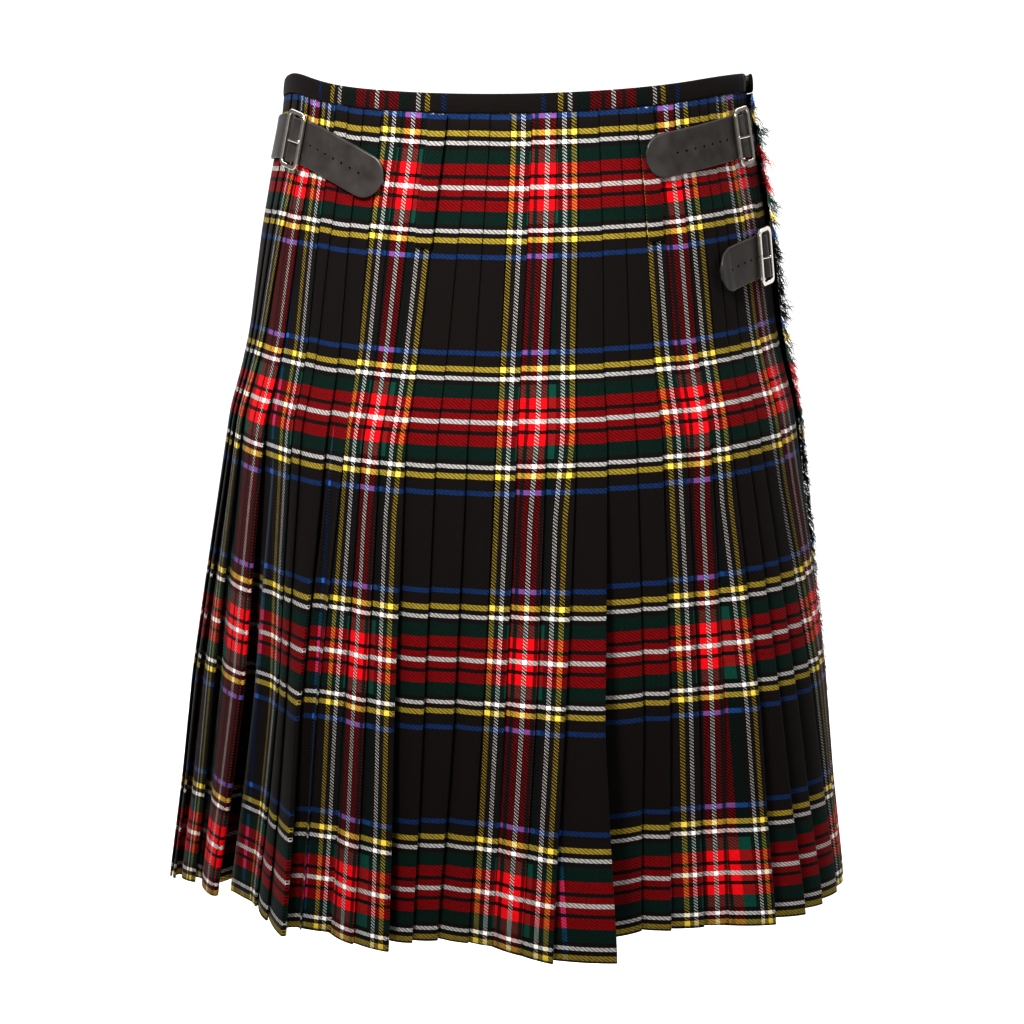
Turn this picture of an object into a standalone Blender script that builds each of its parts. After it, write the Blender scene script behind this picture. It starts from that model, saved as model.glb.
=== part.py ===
import bpy
import numpy as np

# Sizes in metres. Angles run round the waist in degrees from the centre back, positive to the
# wearer's right. "Down" is the distance along the cloth from the top of the waistband.
WALL = 0.0012
BAND_WALL = 0.0022
BAND_HEIGHT = 0.0135
SEAM = 0.0003
LENGTH = 0.610
DROP = 0.992
WAIST_TILT = 0.0146
WAIST_DIP, WAIST_DIP_FROM = 0.0445, 50.0
HEM_DIP, HEM_DIP_FROM = 0.020, 90.0
HEM_DRIFT = -0.0063
LAP = 0.0042
SLIT_TOP, SLIT_FOOT, SLIT_DEG = 0.024, 0.062, 5.2
LEATHER = 0.0018
STRAP_HALF = 0.0155
CHAPE_WALL, CHAPE_HALF = 0.0012, 0.012
CREASE_MOST = 1.7  # deepest a crease is set back, in walls
FRAME_TALL, FRAME_WIDE, FRAME_BAR = 0.0415, 0.0220, 0.0032
FRAME_THICK, FRAME_CORNER = 0.0023, 0.0050
FRINGE_REACH, FRINGE_WALL = 0.018, 0.0014
FRINGE_FLAT = (0.190, 0.235)
LOOP_WIDE, LOOP_TOP, LOOP_FOOT = 0.0125, 0.0146, 0.108
LOOP_ANGLES = {"left": (-21.1, -22.6), "right": (30.7, 31.3)}
SIDE_LIFT, SIDE_LIFT_AT, SIDE_LIFT_WIDE, SIDE_LIFT_FOOT = 0.0052, -72.0, 14.0, 0.100

# Body of the kilt, ring by ring: down, half width, half depth behind, half depth in front,
# and the angle of the over-apron's free edge.
RINGS = np.array([
    (0.000, 0.1640, 0.113, 0.104, 85.0),
    (0.030, 0.1667, 0.117, 0.109, 85.0),
    (0.066, 0.1737, 0.122, 0.114, 85.5),
    (0.110, 0.1809, 0.128, 0.120, 86.5),
    (0.150, 0.1855, 0.133, 0.124, 87.5),
    (0.185, 0.1894, 0.137, 0.127, 89.0),
    (0.215, 0.1955, 0.142, 0.130, 92.0),
    (0.245, 0.2035, 0.147, 0.133, 95.5),
    (0.300, 0.2110, 0.152, 0.137, 99.5),
    (0.375, 0.2215, 0.160, 0.142, 103.0),
    (0.450, 0.2315, 0.169, 0.146, 105.5),
    (0.530, 0.2390, 0.180, 0.150, 107.5),
    (0.610, 0.2485, 0.195, 0.155, 109.0),
])

# Knife pleats from the wearer's left to right: angle of the folded edge at the waist, at the end
# of the stitched fell, half way down and at the hem; how deep the fold is tucked (share of the
# usual step); how far the hem is drawn in at the edge and just behind it (mm of depth).
PLEATS = np.array([
    (-74.6, -83.1, -87.9, -87.6, 0.7, 0, 2),
    (-68.8, -78.4, -78.8, -80.6, 0.8, 13, 14),
    (-62.0, -72.1, -68.1, -68.0, 1.2, 35, 33),
    (-56.5, -60.5, -57.0, -59.8, 2.6, 30, 43),
    (-50.2, -50.4, -46.0, -47.2, 1.0, 37, 31),
    (-45.4, -47.5, -44.0, -44.2, 0.8, 19, 19),
    (-40.4, -40.4, -41.0, -40.5, 2.2, 0, 8),
    (-34.8, -35.5, -36.5, -36.6, 0.4, 16, 16),
    (-28.8, -31.4, -30.9, -30.6, 1.0, 20, 12),
    (-23.4, -27.3, -26.5, -26.4, 0.9, 6, 4),
    (-17.4, -21.7, -20.9, -20.1, 1.3, 0, 12),
    (-11.4, -15.3, -15.4, -15.9, 0.8, 17, 17),
    (-6.3, -9.0, -10.0, -11.7, 1.1, 23, 23),
    (-1.2, -3.4, -4.9, -6.5, 0.8, 21, 20),
    (3.8, 0.9, -1.0, -2.4, 1.0, 17, 14),
    (9.9, 6.7, 4.4, 2.3, 1.0, 2, 0),
    (15.1, 12.8, 9.6, 7.4, 1.0, -12, -10),
    (20.4, 19.1, 16.9, 18.2, 1.0, -17, 18),
    (25.7, 25.3, 24.2, 22.7, 1.0, 30, 30),
    (30.9, 31.2, 29.5, 28.2, 0.9, 25, 25),
    (35.6, 36.9, 35.5, 34.6, 1.2, 23, 22),
    (41.9, 43.4, 41.4, 40.1, 1.0, 20, 15),
    (47.1, 49.0, 50.8, 51.2, 1.1, 0, 9),
    (50.9, 54.0, 57.2, 60.5, 0.9, -2, 5),
    (54.6, 59.0, 63.6, 67.6, 1.0, 0, 3),
    (58.6, 63.4, 71.0, 76.5, 1.0, 0, 2),
    (63.5, 68.7, 79.0, 84.0, 1.0, 0, 1),
    (67.2, 75.2, 86.0, 90.0, 1.0, 0, 0),
    (70.8, 79.5, 90.5, 95.0, 1.0, 0, 0),
    (74.4, 83.5, 95.0, 100.0, 1.0, 0, 0),
])
PLEAT_DOWN = (0.030, 0.240, 0.450, 0.600)
PANEL_START = (-84.0, -90.0, -94.0, -94.0)
PANEL_END = (78.5, 87.0, 98.5, 103.5)
# Depth of one pleat's step and how far its fold goes back under, by distance down.
STEP_DOWN = (0.000, 0.200, 0.300, 0.450, 0.610)
STEP_DEEP = (0.0019, 0.0021, 0.0048, 0.0076, 0.0088)
STEP_UNDER = (0.0013, 0.0015, 0.0028, 0.0040, 0.0046)
# How soon the cloth comes forward again after a fold: at once, or late where the fold is deep.
USUAL_CURVE, DEEP_CURVE = 1.8, 0.75
SPREAD_FROM = 0.18

# Straps and buckles: path of the leather as angle, down and height of its middle off the cloth
# in mm, from the tip to the sewn end, and the point of the path where the frame sits.
STRAPS = {
    "right_waist": {
        "path": [(31.7, 0.0482, 5.2), (37.1, 0.0482, 4.6), (42.5, 0.0474, 3.1), (48.0, 0.0466, 2.9),
                 (53.5, 0.0457, 2.9), (58.5, 0.0449, 2.9), (62.0, 0.0443, 2.9), (65.2, 0.0438, 2.8),
                 (68.2, 0.0432, 7.4), (71.4, 0.0427, 2.8), (75.5, 0.0420, 2.8), (79.0, 0.0415, 2.3),
                 (83.0, 0.0410, 1.7), (95.0, 0.0400, 1.6)],
        "frame": 8,
    },
    "left_waist": {
        "path": [(-32.0, 0.0650, 3.4), (-37.0, 0.0600, 3.2), (-43.0, 0.0540, 3.0), (-49.0, 0.0492, 2.9),
                 (-55.0, 0.0455, 2.9), (-60.6, 0.0437, 2.8), (-64.0, 0.0428, 7.4), (-67.4, 0.0424, 2.8),
                 (-73.0, 0.0428, 3.0), (-79.0, 0.0434, 2.7), (-83.6, 0.0436, 2.0), (-89.6, 0.0436, -2.6),
                 (-96.0, 0.0436, -4.3), (-103.0, 0.0436, -4.4)],
        "frame": 6,
    },
    "right_hip": {
        "path": [(50.0, 0.1370, 8.5), (53.0, 0.1362, 6.2), (56.2, 0.1352, 3.4), (60.0, 0.1336, 3.0),
                 (64.5, 0.1325, 2.9), (68.8, 0.1316, 2.8), (72.0, 0.1312, 7.4), (75.2, 0.1308, 2.8),
                 (78.8, 0.1303, 2.8), (82.0, 0.1300, 2.0), (85.5, 0.1300, 1.6), (95.0, 0.1300, 1.6)],
        "frame": 6,
    },
}

COLOURS = {
    "tartan": (0.030, 0.028, 0.030, 1.0),
    "band": (0.045, 0.030, 0.030, 1.0),
    "fringe": (0.020, 0.030, 0.040, 1.0),
    "leather": (0.018, 0.016, 0.015, 1.0),
    "nickel": (0.800, 0.780, 0.740, 1.0),
}


def ring_size(down):
    return [np.interp(down, RINGS[:, 0], RINGS[:, k]) for k in (1, 2, 3)]


def arc_rate(angle, down):
    """Metres of cloth per radian of angle."""
    wide, back, front = ring_size(down)
    turn = np.radians(angle)
    deep = np.where(np.cos(turn) > 0, back, front)
    return np.hypot(wide * np.cos(turn), deep * np.sin(turn))


def front_dip(angle, deepest, start):
    """How far the cloth hangs lower towards the centre front, from nothing at the start angle."""
    round_front = np.abs((np.asarray(angle, float) + 180) % 360 - 180)
    share = np.clip((round_front - start) / (180 - start), 0.0, 1.0)
    return deepest * (1 - np.cos(np.pi * share)) / 2


def side_lift(angle, down):
    """The waist is pulled up a little at the wearer's left side, where a strap draws it in."""
    share = np.exp(-(((np.asarray(angle, float) - SIDE_LIFT_AT) / SIDE_LIFT_WIDE) ** 2))
    return SIDE_LIFT * share * np.clip(1 - down / SIDE_LIFT_FOOT, 0.0, 1.0)


def place(angle, down, out=0.0, behind=0.0, rise=0.0):
    """Point on the body: out moves along the ring's outward normal, behind moves towards +Y."""
    wide, back, front = ring_size(down)
    turn = np.radians(angle)
    deep = np.where(np.cos(turn) > 0, back, front)
    away = np.stack([np.sin(turn) / wide, -np.cos(turn) / deep])
    away = away / np.linalg.norm(away, axis=0)
    x = HEM_DRIFT * down / LENGTH + wide * np.sin(turn)
    low = down / LENGTH
    waist_dip = front_dip(angle, WAIST_DIP, WAIST_DIP_FROM) * (1 - low)
    hem_dip = front_dip(angle, HEM_DIP, HEM_DIP_FROM) * low
    z = -DROP * down + WAIST_TILT * x * (1 - low) - waist_dip - hem_dip + side_lift(angle, down) + rise
    y = -deep * np.cos(turn) + behind
    return np.stack(np.broadcast_arrays(x + out * away[0], y + out * away[1], z), axis=-1)


def hem_share(down):
    share = np.clip((down - 0.26) / (LENGTH - 0.26), 0.0, 1.0)
    return share ** 1.4


def new_object(name, points, faces, colour, rough, metal=0.0):
    mesh = bpy.data.meshes.new(name)
    mesh.from_pydata([tuple(p) for p in points], [], faces)
    mesh.update()
    body = bpy.data.objects.new(name, mesh)
    kilt.objects.link(body)
    made = bpy.data.materials.new(name + "_surface")
    made.use_nodes = True
    shader = made.node_tree.nodes["Principled BSDF"]
    shader.inputs["Base Color"].default_value = COLOURS[colour]
    shader.inputs["Roughness"].default_value = rough
    shader.inputs["Metallic"].default_value = metal
    mesh.materials.append(made)
    return body


def sheet(name, grid, wall, colour, rough=0.85):
    """A cloth or leather sheet: the loft is its outer face, and the inner face lies one wall behind it."""
    rows, cols = grid.shape[:2]
    faces = [
        (r * cols + c, (r + 1) * cols + c, (r + 1) * cols + c + 1, r * cols + c + 1)
        for r in range(rows - 1)
        for c in range(cols - 1)
    ]
    outer = grid.reshape(-1, 3)
    loft = bpy.data.meshes.new(name + "_loft")
    loft.from_pydata([tuple(p) for p in outer], [], faces)
    loft.update()
    normals = np.array([v.normal for v in loft.vertices])
    facing = [[] for _ in outer]
    for face in loft.polygons:
        for k in face.vertices:
            facing[k].append(normals[k] @ np.array(face.normal))
    # a crease is set back further than a flat place, to keep the wall even, but never past 1.7 walls
    depth = wall / np.array([np.clip(np.mean(values), 1 / CREASE_MOST, 1.0) for values in facing])
    inner = outer - normals * depth[:, None]
    bpy.data.meshes.remove(loft)
    count = len(outer)
    sides = {(f[k], f[(k + 1) % 4]) for f in faces for k in range(4)}
    rim = [(b, a, a + count, b + count) for a, b in sorted(sides) if (b, a) not in sides]
    back = [tuple(k + count for k in reversed(f)) for f in faces]
    return new_object(name, np.concatenate([outer, inner]), faces + back + rim, colour, rough)


def pleat_columns(down):
    """Angle, radial height and depth behind of every column of the pleated back at one ring."""
    edges = [np.interp(down, PLEAT_DOWN, row[:4]) for row in PLEATS]
    start = np.interp(down, PLEAT_DOWN, PANEL_START)
    stop = np.interp(down, PLEAT_DOWN, PANEL_END)
    step = np.interp(down, STEP_DOWN, STEP_DEEP)
    under = np.interp(down, STEP_DOWN, STEP_UNDER)
    draw = hem_share(down) / 1000
    columns = [(start, 0.0, 0.0)]
    low, low_in = start, 0.0
    deep = 0.0
    curve = USUAL_CURVE
    for edge, row in zip(edges, PLEATS):
        spread = 1 + (row[4] - 1) * hem_share(down + SPREAD_FROM)
        for share in (0.34, 0.72):
            inward = low_in + (row[5] * draw - low_in) * share
            columns.append((low + (edge - low) * share, -deep * (1 - share) ** curve, inward))
        columns.append((edge, 0.0, row[5] * draw))
        deep = step * spread
        tuck = min(np.degrees(under * spread / arc_rate(edge, down)), 0.45 * (edge - low))
        low, low_in = edge - tuck, row[6] * draw
        curve = DEEP_CURVE if row[4] > 1.5 else USUAL_CURVE
        columns.append((low, -deep, low_in))
    columns.append((low + (stop - low) * 0.5, 0.0, low_in * 0.4))
    columns.append((low + (stop - low) * 0.75, 0.0, 0.0))
    columns.append((stop, 0.0, 0.0))
    return np.array(columns).T


def pleated_back():
    rows = []
    for down in (BAND_HEIGHT + 3 * SEAM, *RINGS[1:, 0]):
        angle, out, behind = pleat_columns(down)
        rows.append(place(angle, down, out, behind, behind * 0.14))
    return sheet("pleated_back", np.array(rows), WALL, "tartan")


def slit_cut(down):
    return SLIT_DEG * (SLIT_TOP < down < SLIT_FOOT)


def apron_downs():
    """Rings of the over-apron, with a pair close together at each end of the slit."""
    around_slit = [SLIT_TOP - 0.0006, SLIT_TOP + 0.0002, 0.046, SLIT_FOOT - 0.0002, SLIT_FOOT + 0.0006]
    return [BAND_HEIGHT + 2 * SEAM, *around_slit, *RINGS[3:, 0]]


def over_apron():
    """From the left side round the front to the fringed edge at the wearer's right."""
    rows = []
    for down in apron_downs():
        seam = np.degrees(SEAM / arc_rate(90.0, down))
        start = np.interp(down, PLEAT_DOWN, PANEL_START) - seam - slit_cut(down)
        stop = np.interp(down, RINGS[:, 0], RINGS[:, 4]) - 360
        along = np.linspace(0, 1, 25)
        angle = start + (stop - start) * along
        out = LAP * np.clip(along * 4.0 - 2.6, 0, 1) + 0.0012 * np.sin(along * 9.0) * (down / LENGTH)
        rows.append(place(angle, down, out))
    return sheet("over_apron", np.array(rows)[:, ::-1], WALL, "tartan")


def under_apron():
    """From the right side across the front, under the over-apron, to its edge at the left."""
    rows = []
    for down in (BAND_HEIGHT + 2 * SEAM, *RINGS[1:, 0]):
        seam = np.degrees(SEAM / arc_rate(90.0, down))
        start = np.interp(down, PLEAT_DOWN, PANEL_END) + seam
        stop = 360 - 96.0
        along = np.linspace(0, 1, 21)
        out = -(LAP + 0.0016) * np.clip(along * 3.0 - 0.2, 0, 1)
        rows.append(place(start + (stop - start) * along, down, out))
    return sheet("under_apron", np.array(rows), WALL, "tartan")


def waistband():
    """One strip, from the over-apron's edge round the front, left side, back and under-apron."""
    along = np.linspace(0, 1, 121)
    angle = 85.0 - 360 + along * (264 - 85 + 360)
    under = -LAP - 0.0016
    out = np.interp(angle, (-275, -225, -186, -84, 78, 150, 264), (LAP, LAP, 0.0, 0.0, 0.0, under, under))
    rows = [place(angle, down, out + 0.0003) for down in (0.0, 0.0045, 0.0090, BAND_HEIGHT)]
    return sheet("waistband", np.array(rows), BAND_WALL, "band")


def fringe():
    rows = []
    for down in np.linspace(BAND_HEIGHT + 0.001, LENGTH - 0.002, 15):
        edge = np.interp(down, RINGS[:, 0], RINGS[:, 4])
        gap = np.degrees(SEAM / arc_rate(edge, down))
        lift = np.array([0.0, 0.0030, 0.0085]) * np.interp(down, FRINGE_FLAT, (1.0, 0.2))
        reach = np.degrees(FRINGE_REACH * np.array([0.0, 0.5, 0.86]) / arc_rate(edge, down))
        rows.append(place(edge - 2 * gap - reach, down, LAP + lift))
    return sheet("fringe", np.array(rows)[:, ::-1], FRINGE_WALL, "fringe")


def belt_loop(side):
    rows = []
    for down in np.linspace(LOOP_TOP, LOOP_FOOT, 9):
        left_angle = np.interp(down, (LOOP_TOP, LOOP_FOOT), LOOP_ANGLES[side])
        wide = np.degrees(LOOP_WIDE / arc_rate(left_angle, down))
        swell = 0.0018 * np.sin(np.pi * (down - LOOP_TOP) / (LOOP_FOOT - LOOP_TOP))
        angle = left_angle + wide * np.linspace(0, 1, 4)
        out = 0.0004 + WALL + swell + np.array([0.0, 0.0003, 0.0003, 0.0])
        rows.append(place(angle, down, out))
    return sheet("belt_loop_" + side, np.array(rows), WALL, "tartan")


def strap_frame_axes(path, at):
    """Middle of the buckle, along the strap, across it and out of it."""
    before, here, after = (place(*path[k][:2], path[k][2] / 1000) for k in (at - 1, at, at + 1))
    along = after - before
    along /= np.linalg.norm(along)
    down = place(path[at][0], path[at][1] + 0.016) - place(path[at][0], path[at][1] - 0.016)
    out = np.cross(along, down)
    out /= np.linalg.norm(out)
    if out @ (here * (1, 1, 0)) < 0:
        out = -out
    across = np.cross(out, along)
    return here, along, across, out


def strap_points(path, finer=4):
    marks = np.arange(len(path))
    fine = np.linspace(0, len(path) - 1, finer * (len(path) - 1) + 1)
    table = np.array(path, float)
    ease = fine - np.floor(fine)
    ease = np.floor(fine) + ease * ease * (3 - 2 * ease)
    angle, down = (np.interp(fine, marks, table[:, k]) for k in (0, 1))
    return angle, down, np.interp(ease, marks, table[:, 2]) / 1000


def strap(name, spec):
    """Leather strap: a band of even width with a rounded tip."""
    angle, down, lift = strap_points(spec["path"], 3)
    middle = np.array([place(a, d, 0) for a, d in zip(angle, down)])
    run = np.concatenate([[0], np.cumsum(np.linalg.norm(np.diff(middle, axis=0), axis=1))])
    tip = np.array([0.0, 0.0012, 0.0035, 0.0075, 0.0125])
    stations = np.concatenate([tip, run[run > 0.0155]])
    rows = []
    for s in stations:
        a, d, lifted = (np.interp(s, run, v) for v in (angle, down, lift))
        a2, d2 = (np.interp(s + 0.004, run, v) for v in (angle, down))
        a1, d1 = (np.interp(s - 0.004, run, v) for v in (angle, down))
        rate = arc_rate(a, d)
        arc = np.radians(a2 - a1) * rate
        fall = d2 - d1
        size = np.hypot(arc, fall)
        across = np.array([-fall, arc]) / size * np.sign(arc)
        half = STRAP_HALF * np.sqrt(max(0.02, 1 - max(0.0, 1 - s / STRAP_HALF) ** 2.4))
        offset = half * np.linspace(-1, 1, 5)
        turn = np.degrees(offset * across[0] / rate)
        rows.append(place(a + turn, d + offset * across[1], lifted + LEATHER / 2))
    grid = np.array(rows)
    if spec["path"][0][0] > 0:
        grid = grid[:, ::-1]
    return sheet(name, grid, LEATHER, "leather", 0.45)


def bar_loop(name, centre, along, across, out, wide, tall, corner, bar, thick):
    """Buckle frame: a flat bar swept round a rounded rectangle, with its middle bar."""
    def ring(half_w, half_t, radius, steps=5):
        points = []
        for k, (sx, sy) in enumerate(((1, 1), (-1, 1), (-1, -1), (1, -1))):
            turn = np.radians(90 * k + np.linspace(0, 90, steps))
            cx, cy = sx * (half_w - radius), sy * (half_t - radius)
            points += [(cx + radius * np.cos(t), cy + radius * np.sin(t)) for t in turn]
        return np.array(points)
    rings = [
        (ring(wide / 2, tall / 2, corner), -thick / 2 + 0.0004),
        (ring(wide / 2, tall / 2, corner), thick / 2 - 0.0005),
        (ring(wide / 2 - 0.0005, tall / 2 - 0.0005, corner - 0.0005), thick / 2),
        (ring(wide / 2 - bar + 0.0004, tall / 2 - bar + 0.0004, corner - bar + 0.0008), thick / 2),
        (ring(wide / 2 - bar, tall / 2 - bar, corner - bar + 0.0004), thick / 2 - 0.0005),
        (ring(wide / 2 - bar, tall / 2 - bar, corner - bar + 0.0004), -thick / 2),
        (ring(wide / 2 - 0.0004, tall / 2 - 0.0004, corner - 0.0004), -thick / 2),
    ]
    count = len(rings[0][0])
    points = [centre + along * p[0] + across * p[1] + out * h for r, h in rings for p in r]
    faces = []
    for k in range(len(rings)):
        for c in range(count):
            here, after = k * count, (k + 1) % len(rings) * count
            faces.append((here + c, here + (c + 1) % count, after + (c + 1) % count, after + c))
    return new_object(name, points, faces, "nickel", 0.22, 1.0)


def round_bar(name, points, radius):
    """A round wire through the points."""
    curve = bpy.data.curves.new(name, "CURVE")
    curve.dimensions = "3D"
    curve.bevel_depth = radius
    curve.bevel_resolution = 1
    curve.use_fill_caps = True
    line = curve.splines.new("POLY")
    line.points.add(len(points) - 1)
    for point, at in zip(line.points, points):
        point.co = (*at, 1.0)
    body = bpy.data.objects.new(name, curve)
    kilt.objects.link(body)
    made = bpy.data.materials.new(name + "_surface")
    made.use_nodes = True
    shader = made.node_tree.nodes["Principled BSDF"]
    shader.inputs["Base Color"].default_value = COLOURS["nickel"]
    shader.inputs["Roughness"].default_value = 0.22
    shader.inputs["Metallic"].default_value = 1.0
    curve.materials.append(made)
    return body


def fold_outward(body):
    """Turns every face of a closed mesh outward."""
    bpy.context.view_layer.objects.active = body
    bpy.ops.object.select_all(action="DESELECT")
    body.select_set(True)
    bpy.ops.object.mode_set(mode="EDIT")
    bpy.ops.mesh.select_all(action="SELECT")
    bpy.ops.mesh.normals_make_consistent(inside=False)
    bpy.ops.object.mode_set(mode="OBJECT")


def buckle(name, spec):
    path = spec["path"]
    centre, along, across, out = strap_frame_axes(path, spec["frame"])
    level = centre - out * 0.0016
    frame = bar_loop(name + "_buckle", level, along, across, out,
                     FRAME_WIDE, FRAME_TALL, FRAME_CORNER, FRAME_BAR, FRAME_THICK)
    fold_outward(frame)
    reach = FRAME_TALL / 2 - FRAME_BAR - SEAM
    under = level - out * 0.0021
    round_bar(name + "_buckle_bar", [under - across * reach, under + across * reach], 0.0008)
    steps = ((0.0010, 0.0046), (0.0062, 0.0040), (0.0098, 0.0024), (FRAME_WIDE / 2 - 0.0004, 0.0019))
    points = [level - along * forward + out * height for forward, height in steps]
    round_bar(name + "_buckle_tongue", points, 0.0007)


def chape(name, spec):
    """Leather tab that carries the buckle, sewn to the pleats under the strap."""
    path = spec["path"]
    at = spec["frame"]
    run = np.linspace(-0.6, -3.6, 8)
    rows = []
    for k in run:
        a, d = (np.interp(at + k, range(len(path)), [p[j] for p in path]) for j in (0, 1))
        offset = CHAPE_HALF * np.linspace(-1, 1, 4)
        rows.append(place(np.full(4, a), d + offset, SEAM + CHAPE_WALL + 0.0001))
    grid = np.array(rows)
    if path[0][0] < 0:
        grid = grid[:, ::-1]
    return sheet(name, grid, CHAPE_WALL, "leather", 0.5)


for leftover in list(bpy.data.objects):
    bpy.data.objects.remove(leftover, do_unlink=True)
kilt = bpy.data.collections.new("kilt")
bpy.context.scene.collection.children.link(kilt)

pleated_back()
over_apron()
under_apron()
waistband()
fringe()
belt_loop("left")
belt_loop("right")
for side, spec in STRAPS.items():
    strap(side + "_strap", spec)
    buckle(side, spec)
    chape(side + "_chape", spec)
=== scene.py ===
import math
import bpy
import numpy as np
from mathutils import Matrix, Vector


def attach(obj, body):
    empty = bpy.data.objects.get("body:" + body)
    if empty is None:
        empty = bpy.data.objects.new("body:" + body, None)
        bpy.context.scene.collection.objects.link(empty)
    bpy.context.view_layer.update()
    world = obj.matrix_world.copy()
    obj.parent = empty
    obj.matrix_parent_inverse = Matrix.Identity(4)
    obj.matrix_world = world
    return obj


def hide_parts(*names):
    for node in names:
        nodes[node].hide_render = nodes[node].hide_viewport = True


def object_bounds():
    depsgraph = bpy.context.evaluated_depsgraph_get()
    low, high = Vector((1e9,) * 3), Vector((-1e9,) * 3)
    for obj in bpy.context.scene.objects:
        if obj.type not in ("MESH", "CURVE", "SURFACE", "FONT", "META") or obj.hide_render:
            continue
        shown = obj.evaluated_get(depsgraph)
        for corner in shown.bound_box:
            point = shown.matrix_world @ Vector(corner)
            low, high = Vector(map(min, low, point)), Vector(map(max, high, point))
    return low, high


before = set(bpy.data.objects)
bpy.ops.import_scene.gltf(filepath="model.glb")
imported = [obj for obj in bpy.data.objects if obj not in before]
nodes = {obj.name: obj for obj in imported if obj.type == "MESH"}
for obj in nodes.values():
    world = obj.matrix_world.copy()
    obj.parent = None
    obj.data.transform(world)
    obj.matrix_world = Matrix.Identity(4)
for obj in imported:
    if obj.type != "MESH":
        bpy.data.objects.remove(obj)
cadLow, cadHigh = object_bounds()
print("frame loaded:", len(nodes), "nodes")

# Angles run in degrees from the centre back, positive to the wearer's right.
# "Down" is the distance along the cloth from the top of the waistband, in metres.
kiltForm = {
    "length": 0.610,
    "clothTop": 0.0141,       # the cloth starts here, under the band
    "drop": 0.992,            # cloth to height, as the skirt leans out
    "waistTilt": 0.0146,
    "waistDip": (0.0445, 50.0),   # how far the front waist hangs lower, and from which angle
    "hemDip": (0.020, 90.0),
    "hemDrift": -0.0063,
    # the strap pulls the waist up at the left: by how much, at which angle, width in degrees, down to
    "sideLift": (0.0052, -72.0, 14.0, 0.100),
    "lap": 0.0042,            # over-apron stands this far off the under-apron
    # down, half width, half depth behind, half depth in front, angle of the fringed edge
    "rings": [
        (0.000, 0.1640, 0.113, 0.104, 85.0), (0.030, 0.1667, 0.117, 0.109, 85.0),
        (0.066, 0.1737, 0.122, 0.114, 85.5), (0.110, 0.1809, 0.128, 0.120, 86.5),
        (0.150, 0.1855, 0.133, 0.124, 87.5), (0.185, 0.1894, 0.137, 0.127, 89.0),
        (0.215, 0.1955, 0.142, 0.130, 92.0), (0.245, 0.2035, 0.147, 0.133, 95.5),
        (0.300, 0.2110, 0.152, 0.137, 99.5), (0.375, 0.2215, 0.160, 0.142, 103.0),
        (0.450, 0.2315, 0.169, 0.146, 105.5), (0.530, 0.2390, 0.180, 0.150, 107.5),
        (0.610, 0.2485, 0.195, 0.155, 109.0),
    ],
}
fineDown = np.linspace(-0.05, 0.66, 711)


def eased(downs, values, window=25):
    # a table's line with its corners rounded off
    line = np.interp(fineDown, downs, values)
    kernel = np.hanning(window + 2)[1:-1]
    padded = np.concatenate([np.full(window, line[0]), line, np.full(window, line[-1])])
    smooth = np.convolve(padded, kernel / kernel.sum(), "same")[window:-window]
    return smooth


ringTable = np.array(kiltForm["rings"])
ringLines = [eased(ringTable[:, 0], ringTable[:, k]) for k in range(1, 5)]


def ringAt(down, k):
    return np.interp(down, fineDown, ringLines[k])


def frontDip(angle, deepest, start):
    roundFront = np.abs((np.asarray(angle, float) + 180) % 360 - 180)
    share = np.clip((roundFront - start) / (180 - start), 0, 1)
    return deepest * (1 - np.cos(np.pi * share)) / 2


def kiltPoint(angle, down, out=0.0, behind=0.0, rise=0.0):
    # out is along the ring's outward normal, behind is towards the wearer's front
    angle, down, out, behind, rise = np.broadcast_arrays(angle, down, out, behind, rise)
    wide, back, front = (ringAt(down, k) for k in range(3))
    turn = np.radians(angle)
    deep = np.where(np.cos(turn) > 0, back, front)
    away = np.stack([np.sin(turn) / wide, -np.cos(turn) / deep])
    away = away / np.linalg.norm(away, axis=0)
    low = down / kiltForm["length"]
    x = kiltForm["hemDrift"] * low + wide * np.sin(turn)
    dip = frontDip(angle, *kiltForm["waistDip"]) * (1 - low) + frontDip(angle, *kiltForm["hemDip"]) * low
    lift, liftAt, liftWide, liftFoot = kiltForm["sideLift"]
    pulled = lift * np.exp(-((angle - liftAt) / liftWide) ** 2) * np.clip(1 - down / liftFoot, 0, 1)
    z = -kiltForm["drop"] * down + kiltForm["waistTilt"] * x * (1 - low) - dip + pulled + rise
    y = -deep * np.cos(turn) + behind
    return np.stack([x + out * away[0], y + out * away[1], z], axis=-1)


def arcRate(angle, down):
    # metres of cloth per degree
    wide, back, front = (ringAt(down, k) for k in range(3))
    turn = np.radians(angle)
    deep = np.where(np.cos(turn) > 0, back, front)
    return np.hypot(wide * np.cos(turn), deep * np.sin(turn)) * math.pi / 180


def arcFrom(angle, down, zero):
    # signed length round the ring from the zero angle, for one angle array at one down
    fine = np.linspace(-280, 280, 1121)
    run = np.concatenate([[0], np.cumsum(arcRate((fine[1:] + fine[:-1]) / 2, down) * 0.5)])
    return np.interp(angle, fine, run) - np.interp(zero, fine, run)


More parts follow.
